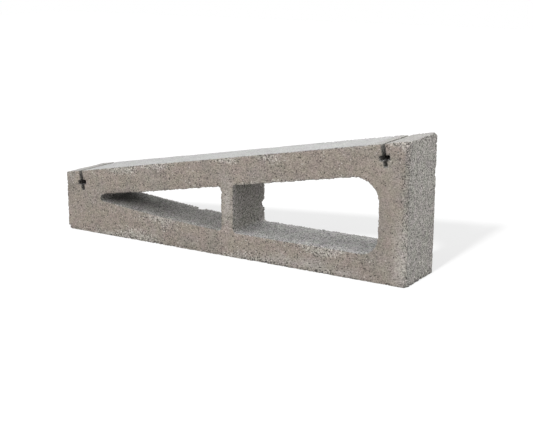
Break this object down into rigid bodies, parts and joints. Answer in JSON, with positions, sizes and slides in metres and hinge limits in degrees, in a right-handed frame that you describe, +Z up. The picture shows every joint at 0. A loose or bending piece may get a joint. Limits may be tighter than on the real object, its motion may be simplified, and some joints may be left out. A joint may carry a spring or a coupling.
{
  "type": "solar ballast mount",
  "caption": "Pressed concrete wedge block with a sloping top face, windows through its side and clamp slots for the edges of tilted solar modules.",
  "frame": {"origin": "middle of the underside, at the centre of the bounding box's base", "axes": "+X from the low end to the high end, +Y from the front face to the back face across the width, +Z up"},
  "size_m": [1.13, 0.164, 0.3745],
  "materials": {
    "pressed_concrete": "rough, open-grained, as pressed"
  },
  "bodies": {
    "root": {"ballast_block": "pressed_concrete"}
  },
  "joints": []
}
